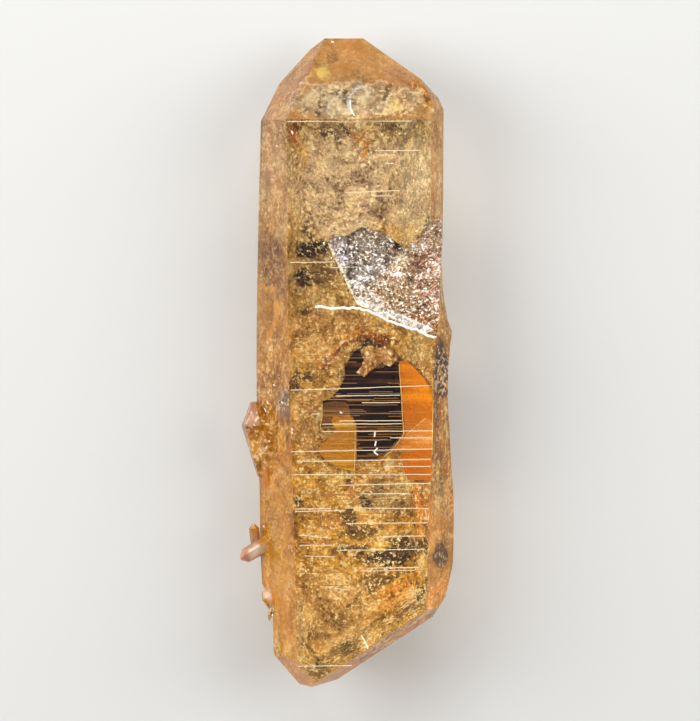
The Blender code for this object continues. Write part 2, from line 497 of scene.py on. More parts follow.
def quartz_body():
    """The clear golden crystal, with worn edges and faintly wavy faces."""
    bm = worn_copy()
    refine(bm, 1.2)
    for edge in bm.edges:
        edge.smooth = len(edge.link_faces) != 2 or edge.calc_face_angle(0) < math.radians(6)
    for vertex in bm.verts:
        vertex.co += vertex.normal * noise.noise(vertex.co / MM * 0.45) * 0.01 * MM
    made = finished("quartz_body", bm, quartz, smooth=True)
    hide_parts(NODE)
    return made


quartz_body()


# The rough golden growth inside the back faces: its zones, each with its middle and half widths in
# mm, its turn in degrees, its colour, and how strongly it covers what is under it.
GROWTH_ZONES = (
    ("peach_tip", (-0.2, 35.5), (5.88, 3.18), 0, (208, 162, 112), 1.0),
    ("silver_band", (0.6, 30.5), (7.76, 2.23), 0, (182, 160, 128), 0.9),
    ("tip_dark_left", (-1.3, 31.3), (1.29, 0.94), 0, (72, 62, 58), 0.85),
    ("tip_dark_right", (4.6, 31.3), (0.71, 0.94), 0, (88, 76, 68), 0.8),
    ("tip_shadow", (-1.8, 35.9), (1.06, 0.82), 0, (150, 105, 70), 0.7),
    ("yellow_kite", (-2.8, 33.9), (0.82, 0.82), 0, (248, 215, 125), 0.95),
    ("yellow_fan", (5.9, 30.0), (1.18, 0.94), 0, (242, 200, 115), 0.8),
    ("beige_panel", (1.6, 20.5), (8.82, 6.82), 0, (214, 190, 166), 0.9),
    ("amber_corner", (-6.1, 26.8), (0.82, 1.29), 0, (176, 100, 22), 1.0),
    ("upper_grey", (-1.6, 26.9), (1.18, 0.71), 0, (112, 96, 68), 0.8),
    ("upper_dark", (0.0, 27.6), (1.06, 0.35), -40, (66, 42, 24), 0.9),
    ("upper_brown", (2.3, 26.4), (1.65, 0.94), 30, (190, 124, 42), 0.7),
    ("upper_speckle", (6.0, 26.7), (2.35, 1.41), 0, (120, 96, 66), 0.5),
    ("left_red", (-8.8, 13.7), (1.06, 2.12), 0, (112, 70, 50), 0.8),
    ("dark_beside_break", (-3.8, 13.3), (2.3, 0.95), 5, (44, 27, 17), 0.97),
    ("dark_patch_two", (-4.6, 9.8), (1.35, 1.05), 0, (52, 35, 20), 0.95),
    ("dark_patch_three", (-5.0, 6.1), (0.71, 0.71), 0, (62, 42, 25), 0.8),
    ("olive_zone", (-2.6, 10.8), (1.88, 2.12), -30, (128, 100, 60), 0.7),
    ("gold_over_chip", (5.7, 15.1), (3.76, 1.06), 0, (210, 168, 96), 0.8),
    ("chip_amber", (9.7, 13.7), (1.41, 1.41), 0, (172, 110, 38), 0.85),
    ("chip_dark", (9.9, 15.9), (1.06, 0.82), 0, (60, 44, 27), 0.9),
    ("mid_tan", (-2.0, 3.2), (5.29, 2.59), 0, (205, 158, 92), 0.7),
    ("yellow_left", (-7.4, -9.2), (0.94, 2.59), 0, (228, 165, 45), 0.8),
    ("left_grey", (-7.7, -5.9), (0.71, 2.12), 0, (150, 130, 125), 0.6),
    ("beige_left", (-4.6, -7.4), (1.88, 4.0), 0, (202, 158, 98), 0.8),
    ("dark_top_left", (-6.3, -2.5), (1.06, 0.82), 0, (90, 62, 36), 0.8),
    ("gold_lower_left", (-4.9, -14.2), (1.41, 0.94), 0, (252, 190, 68), 0.95),
    ("grey_sparkle", (4.9, -15.9), (2.94, 2.35), 0, (170, 150, 112), 0.7),
    ("dark_spot_left", (-5.5, -16.0), (0.59, 0.82), 0, (60, 48, 32), 0.9),
    ("dark_spot_mid", (2.1, -16.5), (0.8, 1.05), 15, (50, 38, 27), 0.95),
    ("dark_spot_top", (0.4, -14.0), (0.71, 0.59), 0, (80, 58, 36), 0.85),
    ("dark_slope", (0.4, -18.9), (0.9, 1.7), 35, (76, 54, 32), 0.8),
    ("orange_patch", (-1.7, -18.6), (1.53, 1.06), 0, (226, 168, 86), 0.7),
    ("rosy_patch", (0.5, -15.0), (0.59, 0.94), 0, (214, 132, 92), 0.6),
    ("orange_right", (9.0, -16.8), (0.94, 3.29), 0, (226, 146, 40), 0.9),
    ("low_dark_a", (7.0, -21.5), (2.5, 1.15), 0, (66, 46, 36), 0.85),
    ("low_dark_b", (4.7, -23.1), (3.3, 0.95), 0, (58, 46, 28), 0.95),
    ("low_dark_c", (0.3, -22.0), (2.2, 0.6), 10, (72, 50, 32), 0.85),
    ("low_yellow_a", (1.0, -20.8), (1.06, 0.71), 0, (238, 192, 84), 0.8),
    ("low_yellow_b", (4.0, -21.7), (1.29, 0.71), 0, (236, 200, 90), 0.8),
    ("low_grey_dark", (3.3, -25.6), (1.65, 0.94), 20, (96, 74, 46), 0.7),
    ("mixed_dark", (1.6, -20.1), (2.2, 0.7), 5, (92, 68, 30), 0.7),
    ("base_light", (-1.7, -29.7), (5.41, 4.7), 0, (204, 166, 102), 0.9),
    ("base_orange", (6.7, -27.5), (3.06, 1.65), 25, (220, 156, 60), 0.8),
    ("crescent_top", (8.7, -27.0), (0.59, 1.06), -15, (80, 58, 36), 0.95),
    ("crescent_low", (7.1, -29.0), (1.41, 0.41), 32, (92, 62, 38), 0.9),
    ("grey_spot_low", (-3.9, -32.0), (0.7, 0.7), 0, (116, 90, 54), 0.7),
    ("olive_mid", (-0.8, -30.2), (1.2, 0.6), 10, (146, 114, 62), 0.65),
    ("olive_left", (-4.6, -25.2), (0.9, 1.1), 0, (150, 116, 62), 0.6),
    ("base_dark", (0.0, -33.6), (1.18, 0.59), 35, (76, 58, 36), 0.85),
    ("base_lilac", (-3.6, -35.9), (1.53, 0.82), 0, (112, 84, 68), 0.7),
)
GROWTH_LEVELS = ((38, (204, 172, 118)), (10, (206, 168, 100)), (-10, (206, 160, 66)), (-38, (202, 156, 54)))

# Bands of growth along a path: the path in mm, half its width, its colour and its strength.
GROWTH_STROKES = (
    ("arc_over_window", ((-2.9, -0.6), (-1.8, 0.7), (-0.2, 2.0), (1.4, 2.9), (3.3, 2.8), (5.2, 2.4)), 0.62,
     (150, 84, 22), 0.9),
    ("dark_arc", ((-0.2, -1.6), (0.6, -0.2), (1.3, 1.2), (2.5, 2.1), (4.1, 2.1)), 0.45, (60, 38, 20), 0.9),
    ("gold_arc", ((-3.6, -0.6), (-2.4, 1.1), (-0.6, 2.6), (1.2, 3.6), (3.6, 3.6)), 0.3, (226, 160, 64), 0.8),
    ("shoulder_dark", ((-6.0, 27.7), (0.5, 27.75), (8.0, 27.7)), 0.22, (84, 56, 34), 0.75),
    ("shoulder_wedge", ((-1.0, 28.0), (0.4, 27.2), (1.3, 26.5)), 0.34, (52, 36, 24), 0.9),
    ("shard_left", ((-4.9, 27.2), (-4.1, 26.0), (-3.4, 25.2)), 0.24, (252, 238, 200), 0.9),
    ("shard_low_left", ((-5.7, 26.0), (-5.1, 24.6), (-4.9, 23.2)), 0.28, (240, 194, 116), 0.85),
    ("shard_dark", ((-2.8, 27.4), (-1.6, 26.6), (-0.7, 25.9)), 0.32, (84, 66, 44), 0.85),
    ("shard_gold", ((0.9, 26.9), (1.8, 25.6), (2.2, 24.6)), 0.26, (232, 156, 40), 0.9),
    ("shard_pale", ((2.1, 27.6), (3.0, 26.7), (3.6, 25.8)), 0.2, (255, 228, 160), 0.9),
    ("shard_right", ((3.8, 27.5), (4.5, 26.5), (5.5, 26.2)), 0.2, (250, 222, 176), 0.9),
    ("cracks_left", ((-4.8, 16.0), (-4.2, 14.2), (-4.8, 12.4)), 0.5, (60, 42, 28), 0.8),
    ("low_ridge", ((-3.4, -13.4), (-1.4, -13.8), (0.6, -13.2)), 0.3, (244, 214, 130), 0.8),
    ("left_spots", ((-6.0, -1.2), (-5.2, -1.7), (-4.6, -1.4)), 0.4, (84, 54, 30), 0.8),
    ("low_dark_d", ((5.6, -24.8), (4.6, -26.0), (3.0, -26.6)), 0.5, (92, 66, 36), 0.7),
    ("base_gold_lines", ((3.4, -29.6), (6.0, -27.6), (8.6, -25.6)), 0.35, (248, 186, 96), 0.7),
)


def back_growth():
    """The rough golden growth just inside the back faces."""
    bm = crystal_copy()
    inset(bm, GROWTH_DEPTH)
    bmesh.ops.delete(bm, geom=[face for face in bm.faces if face.normal.z > 0.1], context="FACES")
    refine(bm, 0.3)
    for vertex in bm.verts:
        place = vertex.co / MM
        rough = noise.noise(place * 2.2) * 0.1 + noise.noise(place * 5.0 + Vector((7, 3, 1))) * 0.08
        rough += abs(noise.noise(place * 0.7)) * 0.3
        vertex.co -= vertex.normal * rough * MM
    covers = np.array([1.0 if vertex.co.z < CLEARING_HEIGHT * MM else CLEARED_COVER for vertex in bm.verts])
    # Its bright fleck colour is a painted glint.
    look = growth_material(
        "rough_back_growth", 2700.0, 420.0, seen_inside(255, 238, 180), seen_inside(104, 72, 38),
        Roughness=0.35, Metallic=0.35,
    )
    made = finished("rough_back_growth", bm, look)
    places = points_of(made)
    tints = zoned(places, along_y(places, GROWTH_LEVELS), GROWTH_ZONES, GROWTH_STROKES)
    store_tint(made, np.clip(tints / THROUGH_QUARTZ, 0, 0.95), covers)
    return made


growth = back_growth()


# The frosted film on the faces: its colours, and what share of the face it hides
FILM_LEVELS = (
    (38, (188, 132, 74)), (30, (184, 130, 74)), (16, (174, 116, 46)), (2, (176, 112, 34)),
    (-12, (184, 114, 20)), (-38, (206, 128, 14)),
)
FILM_ZONES = (
    ("silver_band", (0.6, 30.4), (7.0, 2.0), 0, (190, 168, 136), 0.9),
    ("silver_band_right", (7.2, 30.6), (1.6, 1.4), 0, (196, 156, 116), 0.9),
    ("band_dark_left", (-0.2, 31.35), (1.25, 0.42), -6, (70, 62, 58), 0.9),
    ("band_dark_middle", (0.3, 30.5), (0.9, 0.5), -20, (88, 78, 70), 0.85),
    ("band_dark_right", (4.7, 31.1), (0.55, 1.0), 0, (92, 80, 68), 0.85),
    ("band_yellow", (5.7, 30.1), (0.5, 0.8), 20, (244, 206, 120), 0.9),
    ("band_grey_patch", (7.2, 30.8), (0.8, 0.6), 0, (140, 118, 98), 0.8),
    ("band_spike", (-3.3, 29.1), (0.25, 0.8), 0, (96, 76, 62), 0.9),
    ("rosy_upper_left", (-9.2, 25.0), (1.6, 5.0), 0, (172, 122, 88), 0.6),
    ("peach_left_tip", (-6.5, 32.5), (1.6, 3.4), -38, (186, 126, 78), 0.8),
    ("rosy_right_tip", (6.2, 33.2), (2.6, 1.0), -38, (180, 122, 88), 0.8),
    ("tip_shadow", (-1.7, 35.6), (0.8, 0.6), 0, (138, 92, 62), 0.8),
    ("tip_shadow_low", (1.3, 33.3), (1.0, 0.35), -10, (150, 112, 78), 0.7),
    ("yellow_kite", (-2.75, 33.9), (0.65, 0.85), 15, (246, 206, 112), 0.95),
    ("left_dark_fold", (-5.3, 33.0), (1.3, 0.3), 38, (120, 78, 46), 0.7),
    ("red_stain", (-8.9, 12.6), (1.5, 2.6), 0, (116, 64, 30), 0.8),
    ("red_stain_low", (-8.0, 9.0), (1.2, 1.6), 20, (130, 78, 42), 0.7),
    ("grey_scuff", (-7.4, -4.6), (0.75, 1.8), 0, (136, 116, 108), 0.85),
    ("amber_stain", (-7.5, -9.0), (0.6, 1.6), 0, (222, 150, 18), 0.95),
    ("dark_stain", (-6.9, -7.6), (0.25, 1.8), -4, (62, 40, 22), 0.95),
    ("amber_left_edge", (-9.6, -13.4), (0.8, 1.6), 0, (186, 104, 24), 0.8),
    ("gold_low_left", (-8.0, -22.0), (1.6, 6.0), 0, (190, 130, 48), 0.5),
    ("tip_edge_amber", (8.9, 31.6), (0.35, 1.5), 42, (190, 112, 12), 1.0),
    ("tip_edge_amber_low", (9.9, 30.2), (0.6, 0.8), 30, (196, 122, 30), 0.9),
    ("tip_edge_dark", (9.3, 30.6), (0.3, 0.5), 30, (76, 46, 20), 0.9),
    ("right_amber_top", (10.4, 24.0), (0.5, 5.0), 0, (172, 108, 36), 0.8),
    ("right_dark_mid", (11.0, -1.0), (0.9, 3.6), 0, (62, 36, 12), 1.0),
    ("right_gold_mid", (11.0, -9.0), (0.8, 4.6), 0, (170, 104, 16), 0.9),
    ("right_dark_low", (10.8, -13.2), (0.5, 2.6), 0, (72, 48, 22), 0.9),
    ("right_dark_base", (11.0, -22.5), (0.9, 1.6), 0, (84, 54, 14), 0.9),
    ("base_amber_left", (-7.2, -33.0), (1.0, 2.4), 30, (206, 136, 22), 0.8),
    ("base_orange_right", (6.0, -31.0), (7.0, 1.8), 40, (232, 136, 14), 0.9),
    ("blunt_head", (-12.0, -6.6), (1.5, 2.3), 0, (186, 130, 108), 1.0),
    ("blunt_tail", (-10.4, -10.6), (1.6, 2.2), 0, (190, 128, 46), 0.9),
    ("prism_pink", (-12.0, -21.6), (2.0, 1.8), 0, (196, 142, 112), 1.0),
    # The two pale facets on the side crystals below are painted highlights, on facets that face the light.
    ("prism_lit_facet", (-10.8, -22.1), (0.9, 0.45), 38, (250, 226, 208), 1.0),
    ("small_lit_facet", (-9.3, -27.3), (0.5, 0.7), 0, (236, 206, 196), 1.0),
)
FILM_STROKES = (
    ("band_top", ((-5.6, 32.6), (-3.6, 32.6), (0.0, 32.5), (4.6, 32.7)), 0.12, (226, 200, 162), 0.8),
    ("band_curl", ((2.3, 32.3), (1.3, 31.9), (0.6, 31.1), (0.3, 30.2), (0.4, 29.1)), 0.16,
     (250, 240, 224), 1.0),
    ("band_curl_in", ((2.7, 31.6), (2.1, 30.9), (1.9, 30.0)), 0.16, (240, 222, 190), 0.95),
    ("band_fan", ((5.2, 31.3), (4.8, 30.2), (4.2, 29.2)), 0.14, (246, 226, 180), 0.9),
    ("band_fan_low", ((5.9, 30.6), (5.2, 29.9), (4.4, 29.0)), 0.12, (250, 220, 150), 0.9),
    ("band_streak", ((-4.9, 29.6), (-4.3, 30.9), (-3.5, 31.9)), 0.14, (226, 212, 186), 0.9),
    ("band_streak_in", ((-2.4, 29.2), (-1.7, 30.3), (-0.8, 31.0)), 0.12, (222, 210, 190), 0.85),
    ("band_dark_spike", ((-3.5, 29.0), (-3.3, 30.3), (-3.2, 30.9)), 0.14, (86, 62, 56), 0.9),
    ("band_arch", ((6.2, 31.6), (6.8, 31.95), (7.6, 31.6), (8.3, 31.2)), 0.14, (240, 220, 178), 0.9),
    ("band_pale", ((-4.6, 30.6), (-3.2, 31.0), (-1.6, 30.8)), 0.25, (196, 180, 146), 0.8),
    ("band_pale_low", ((-1.8, 29.0), (-0.4, 29.4), (1.2, 29.3)), 0.22, (200, 186, 156), 0.8),
    ("band_rosy", ((2.6, 29.8), (3.4, 30.6), (4.0, 31.6)), 0.22, (196, 150, 108), 0.8),
    ("left_light_fold", ((-6.7, 30.6), (-5.9, 31.5), (-5.1, 32.2)), 0.1, (228, 186, 130), 0.8),
    ("kite_edge", ((-4.2, 33.9), (-4.9, 32.6), (-5.6, 31.0)), 0.09, (226, 190, 140), 0.8),
    ("right_gold_line", ((11.5, -5.0), (11.6, -8.0), (11.5, -11.0)), 0.16, (236, 190, 100), 1.0),
    ("right_gold_line_in", ((10.6, -12.2), (10.7, -16.0), (10.6, -19.0)), 0.16, (206, 148, 50), 0.9),
    ("base_line", ((2.0, -34.3), (5.4, -31.5), (9.2, -28.3)), 0.16, (255, 206, 110), 0.95),
    ("base_line_dark", ((1.4, -34.9), (4.6, -32.2), (8.4, -29.3)), 0.14, (128, 74, 16), 0.9),
    ("base_line_low", ((3.0, -34.7), (6.2, -31.9), (10.0, -28.6)), 0.14, (250, 184, 76), 0.9),
    ("base_crescent", ((9.3, -26.2), (9.1, -27.4), (7.9, -28.7), (6.6, -29.4)), 0.22, (92, 60, 30), 0.9),
    ("left_scratch", ((-8.6, -13.6), (-8.0, -14.4), (-7.6, -15.2)), 0.1, (70, 44, 24), 0.9),
    ("left_curve", ((-9.8, 9.0), (-8.6, 8.4), (-8.0, 6.4), (-8.5, 4.2), (-9.4, 2.6)), 0.25,
     (232, 150, 50), 0.75),
    ("left_curve_in", ((-9.2, 7.8), (-8.7, 6.6), (-9.0, 5.0)), 0.18, (126, 66, 18), 0.9),
)
# Places where the film is thin or thick, with the share of the face that it hides there
FILM_GAPS = (
    ("break", (4.8, 10.4), (7.2, 6.6), -25, 0.0, 1.0),
    ("right_amber_gap", (11.0, 18.0), (1.0, 4.0), 0, 0.45, 0.8),
    ("right_dark", (11.0, -1.0), (1.2, 4.0), 0, 0.9, 1.0),
    ("right_dark_base", (11.0, -22.5), (1.2, 1.8), 0, 0.85, 1.0),
    ("silver_band", (1.4, 30.4), (8.0, 2.0), 0, 0.72, 1.0),
)
# Places with more or less grain in the film
FILM_GRAIN = (
    ("silver_band", (1.4, 30.2), (8.0, 2.2), 0, 1.0, 1.0),
    ("upper_left", (-8.5, 22.0), (2.4, 8.0), 0, 0.55, 1.0),
    ("stained_left", (-8.5, 11.0), (2.2, 4.0), 0, 0.4, 1.0),
    ("middle_left", (-8.5, -4.0), (2.4, 8.0), 0, 0.75, 1.0),
    ("blunt_crystal", (-11.0, -9.0), (2.4, 4.0), 0, 0.9, 1.0),
    ("right_side", (11.4, -5.0), (1.6, 22.0), 0, 0.65, 1.0),
    ("tip_edge", (9.4, 31.0), (1.2, 2.6), 40, 0.8, 1.0),
    ("base_right", (6.0, -30.6), (6.5, 3.0), 40, 0.85, 1.0),
    ("base_left", (-6.5, -34.0), (2.0, 3.0), 0, 0.5, 1.0),
)


def on_left_face(normal):
    """Whether a face that points this way belongs to the prism's left side."""
    return normal.x < -0.8 and abs(normal.y) < 0.12


def film_cover(normal, place):
    """The share that the film hides of a face that points this way."""
    if place.x < -8.2 and -28.5 < place.y < 0 and not on_left_face(normal):
        return 0.85
    if on_left_face(normal):
        return 0.6 if normal.z > 0.1 else 0.22
    if normal.y > 0.3:
        return 0.62 if normal.z > 0.1 else 0.22
    if normal.y < -0.3:
        return 0.92 if normal.z > 0.1 else 0.25
    if normal.x > 0.4:
        return 0.64 if normal.z > 0.1 else 0.22
    if normal.z > 0.9:
        return 0.0
    return 0.18


def is_rim(face):
    """Whether this face is one of the narrow worn edges."""
    return face.calc_area() < 0.11 * MM * face.calc_perimeter() / 2


def frosted_film():
    """The satin coat just outside the faces, split at the edges so that each face has its own cover."""
    bm = worn_copy()
    inset(bm, -FILM_LIFT)
    rim = bm.faces.layers.int.new("rim")
    for face in bm.faces:
        face[rim] = is_rim(face)
    refine(bm, 2.0)
    bmesh.ops.split_edges(bm, edges=[edge for edge in bm.edges if edge.calc_face_angle(0) > math.radians(8)])
    bm.normal_update()
    refine_some(bm, 0.3, lambda face: 0.1 < face.normal.z < 0.9)
    refine_some(bm, 0.9, lambda face: face.normal.z < 0.9)
    covers = np.array([
        RIM_COVER if vertex.link_faces[0][rim] else film_cover(vertex.link_faces[0].normal, vertex.co / MM)
        for vertex in bm.verts
    ])
    rim_wear_and_highlight = np.array([float(vertex.link_faces[0][rim]) for vertex in bm.verts])[:, None] * RIM_COVER
    made = finished("frosted_film", bm, film_material())
    places = points_of(made)
    tints = zoned(places, along_y(places, FILM_LEVELS), FILM_ZONES, FILM_STROKES, 0.55)
    # The worn edges get a pale tint: part wear, part painted highlight.
    tints = tints * (1 - rim_wear_and_highlight) + np.array(linear(236, 200, 156)) * rim_wear_and_highlight
    flat, fine = wandered(places, 0.5)
    upper = places[:, 2] > FILM_CHANGES
    for _, middle, half, turn, cover, strength in FILM_GAPS:
        weight = strength * oval_share(flat, fine, middle, half, turn) * upper
        covers = covers * (1 - weight) + cover * weight
    store_tint(made, tints, covers)
    grain = np.full(len(places), 0.25)
    for _, middle, half, turn, amount, strength in FILM_GRAIN:
        weight = strength * oval_share(flat, fine, middle, half, turn)
        grain = grain * (1 - weight) + amount * weight
    store_value(made, "grain", grain)
    return made


frosted_film()


# The smooth panes that show inside: the outline seen from the front in mm.
DARK_WINDOW = (
    (6.02, 0.17), (6.21, -1.52), (6.44, -5.64), (6.62, -8.22), (5.8, -9.28), (4.97, -10.34), (3.68, -11.28),
    (2.74, -11.46), (1.15, -11.4), (1.21, -7.4), (0.62, -6.34), (-0.79, -6.11), (-1.73, -6.34),
    (-2.43, -8.1),
    (-3.26, -7.75), (-2.79, -6.58), (-2.79, -4.58), (-1.85, -4.11), (-1.02, -3.28), (-0.2, -1.76),
    (-0.32, -0.7),
    (0.51, 0.71), (1.21, 1.42), (1.92, 0.71), (2.04, -1.17), (4.15, -0.7), (5.33, 0.4),
)
ORANGE_PANE = (
    (6.14, 0.13), (7.2, 0.01), (8.37, -1.16), (9.31, -2.34), (9.9, -3.28), (10.07, -5.63), (10.02, -9.15),
    (9.9, -12.08), (9.8, -13.83), (7.19, -13.83), (6.72, -12.66), (6.43, -11.2), (6.61, -8.44),
    (6.43, -5.63),
    (6.2, -1.52),
)
AMBER_WEDGE = (
    (-1.61, -6.1), (0.15, -6.05), (0.74, -6.58), (1.15, -7.63), (1.15, -11.4), (0.86, -12.81),
    (-1.02, -12.45),
    (-2.32, -11.63), (-3.49, -10.45), (-2.9, -9.63), (-1.84, -8.81), (-1.37, -7.99), (-1.84, -6.81),
)
BROWN_PANE = (
    (-2.78, -4.92), (-1.49, -4.56), (-0.08, -4.68), (0.62, -6.09), (-0.78, -6.44), (-1.6, -6.32),
    (-1.96, -7.85),
    (-3.01, -7.97),
)
PALE_PANE = ((9.18, -6.56), (10.05, -6.91), (10.05, -10.19), (5.43, -10.31), (6.14, -9.49), (6.96, -8.55))
PANE_EDGES = (
    (((0.98, -8.08), (0.98, -10.31), (0.86, -13.6)), 0.9),
    (((10.01, -1.87), (10.12, -4.45), (10.01, -7.97), (10.01, -10.9)), 0.9),
    (((6.14, -0.23), (6.37, -3.27), (6.6, -6.79), (6.72, -8.43)), 0.4),
    (((6.72, -8.43), (5.43, -10.31), (4.38, -11.13)), 0.7),
    (((9.18, -6.56), (6.96, -8.55)), 0.7),
    (((-2.9, -4.92), (-2.9, -6.56), (-3.13, -7.73), (-2.66, -8.2)), 0.6),
)
GROWTH_OVER_WINDOW = (
    (1.8, 0.95), (2.97, 1.77), (4.38, 1.77), (5.55, 1.18), (6.02, 0.24), (5.31, -0.46), (4.14, -0.23),
    (3.2, -0.81), (2.03, -1.63), (1.21, -1.28), (2.03, 0.01),
)


def ragged_outline(outline, step, throw, seed):
    """The outline with more points on it, each moved a little at random."""
    rng = random.Random(seed)
    points = []
    for start, end in zip(outline, outline[1:] + outline[:1]):
        count = max(1, round(math.dist(start, end) / step))
        for part in range(count):
            share = part / count
            points.append(tuple(
                a + (b - a) * share + rng.uniform(-throw, throw) for a, b in zip(start, end)
            ))
    return points


def pane(name, outline, depth, look, step=0.6, throw=0.04, relief=0.0, longest=0.6):
    """A thin plate that follows the back faces at a depth in mm."""
    bm = bmesh.new()
    bm.faces.new([bm.verts.new((x * MM, y * MM, 0)) for x, y in ragged_outline(outline, step, throw, name)])
    triangulate(bm)
    refine(bm, longest)
    for vertex in bm.verts:
        bump = noise.noise(vertex.co / MM * 2.4) * relief
        vertex.co.z = height_inside(vertex.co.x / MM, vertex.co.y / MM, depth + bump) * MM
    bm.normal_update()
    if sum(face.normal.z for face in bm.faces) < 0:
        bmesh.ops.reverse_faces(bm, faces=bm.faces)
    bmesh.ops.solidify(bm, geom=bm.faces[:], thickness=PANE_THICKNESS * MM)
    return finished(name, bm, look)


# The dark window is a dark sheet that stands for the darkness seen through the clear quartz there: painted
# shade, with fine growth lines across it.
pane("dark_window", DARK_WINDOW, PANE_DEPTH, banded_material(
    "smoky_pane", linear(36, 22, 6), linear(92, 60, 26), 1700.0, Roughness=0.4,
    Specular_IOR_Level=0.2,
), throw=0.07)
pane("orange_pane", ORANGE_PANE, PANE_DEPTH, banded_material(
    "orange_pane", seen_inside(190, 108, 0), seen_inside(224, 138, 10), 900.0, Roughness=0.4,
    Specular_IOR_Level=0.2,
))
pane("amber_wedge", AMBER_WEDGE, PANE_DEPTH + 0.08, banded_material(
    "amber_pane", seen_inside(180, 126, 22), seen_inside(234, 184, 70), 900.0, Roughness=0.4,
    Specular_IOR_Level=0.2,
))
pane("brown_pane", BROWN_PANE, PANE_DEPTH + 0.12, banded_material(
    "brown_pane", seen_inside(96, 64, 26), seen_inside(150, 104, 50), 1700.0, Roughness=0.4,
), throw=0.08)
pane("pale_pane", PALE_PANE, PANE_DEPTH + 0.14, banded_material(
    "pale_pane", seen_inside(206, 130, 48), seen_inside(226, 168, 104), 1700.0, Roughness=0.4,
))
# Its bright flecks are painted glints.
over_window = pane("growth_over_window", GROWTH_OVER_WINDOW, PANE_DEPTH + 0.25, growth_material(
    "growth_over_window", 2400.0, 700.0, seen_inside(255, 236, 190), seen_inside(60, 38, 20), Roughness=0.35,
    Metallic=0.3,
), step=0.3, throw=0.16, relief=0.3, longest=0.25)
store_tint(over_window, np.tile(seen_inside(196, 150, 92), (len(over_window.data.vertices), 1)))


# The growth lines on the front face: left end, right end, and strength. They are real low ridges, painted
# pale as a highlight where their ledges catch the light.
GROWTH_LINES = (
    (-6.82, 27.96, 7.6, 28.02, 0.5),
    (3.29, 24.56, 8.64, 24.61, 0.9),
    (3.64, 24.07, 5.74, 24.07, 0.4),
    (4.46, 23.08, 5.5, 23.08, 0.4),
    (-0.19, 19.71, 6.2, 19.94, 0.8),
    (2.95, 19.31, 5.27, 19.31, 0.4),
    (-6.59, 11.58, -1.35, 11.63, 0.8),
    (-1.94, 10.99, 0.39, 11.05, 0.5),
    (-6.47, -3.28, 9.92, -2.73, 0.8),
    (-1.24, -3.93, 6.2, -3.85, 0.7),
    (1.78, -4.73, 6.2, -4.7, 0.35),
    (-0.89, -6.85, 6.43, -6.8, 0.7),
    (-2.87, -7.22, 6.43, -7.17, 0.8),
    (-2.87, -8.08, 10.04, -8.01, 0.8),
    (5.04, -8.82, 9.8, -8.79, 0.4),
    (-6.47, -10.42, 9.92, -10.12, 1.0),
    (-5.77, -11.55, 9.8, -11.3, 0.8),
    (4.34, -12.15, 9.8, -12.12, 0.5),
    (-6.24, -13.1, 9.8, -13.05, 1.0),
    (-0.89, -14.33, 9.69, -14.09, 0.7),
    (1.78, -15.31, 7.25, -15.26, 0.35),
    (-6.0, -17.1, -1.82, -17.03, 0.7),
    (-6.0, -17.38, -0.19, -17.25, 0.6),
    (-0.19, -16.96, 9.45, -17.02, 0.7),
    (-0.08, -18.77, 9.45, -18.68, 1.0),
    (4.22, -20.27, 9.11, -20.21, 0.4),
    (-5.42, -21.32, -1.7, -21.28, 0.45),
    (-1.01, -21.89, 9.11, -21.75, 0.6),
    (2.36, -23.96, 8.41, -23.86, 0.9),
    (1.55, -24.28, 7.94, -24.22, 0.7),
    (-2.52, -26.14, 0.39, -26.49, 0.4),
    (-5.66, -35.35, 0.62, -35.28, 0.6),
    (-4.03, -6.03, -3.1, -6.03, 0.4),
    (-5.42, -20.1, -1.94, -20.45, 0.4),
    (-4.84, -22.54, -1.35, -22.65, 0.35),
)


def path_mesh(name, paths):
    """A mesh of open paths, each a list of points in mm with a strength for each point."""
    places, edges, strengths = [], [], []
    for path in paths:
        first = len(places)
        for place, strength in path:
            places.append(Vector(place) * MM)
            strengths.append(strength)
        edges += [(index, index + 1) for index in range(first, len(places) - 1)]
    mesh = bpy.data.meshes.new(name)
    mesh.from_pydata(places, edges, [])
    mesh.attributes.new("strength", "FLOAT", "POINT").data.foreach_set("value", strengths)
    return mesh


def new_tree(name, numbers):
    """A geometry nodes tree with these number inputs and a material, its ends, and a maker of its nodes."""
    tree = bpy.data.node_groups.new(name, "GeometryNodeTree")
    tree.is_modifier = True
    tree.interface.new_socket("Geometry", in_out="INPUT", socket_type="NodeSocketGeometry")
    for label, value in numbers.items():
        kind = "NodeSocketInt" if isinstance(value, int) else "NodeSocketFloat"
        tree.interface.new_socket(label, in_out="INPUT", socket_type=kind).default_value = value
    tree.interface.new_socket("Look", in_out="INPUT", socket_type="NodeSocketMaterial")
    tree.interface.new_socket("Geometry", in_out="OUTPUT", socket_type="NodeSocketGeometry")

    def node(kind, **settings):
        return add(tree, kind, **settings)

    return tree, node("NodeGroupInput"), node("NodeGroupOutput"), node


def end_tree(tree, given, out, node, geometry):
    """Makes what the tree laid out into real faces with the given look."""
    real = node("GeometryNodeRealizeInstances", Geometry=geometry)
    look = given.outputs["Look"]
    looked = node("GeometryNodeSetMaterial", Geometry=real.outputs["Geometry"], Material=look)
    tree.links.new(looked.outputs["Geometry"], out.inputs["Geometry"])
    return tree


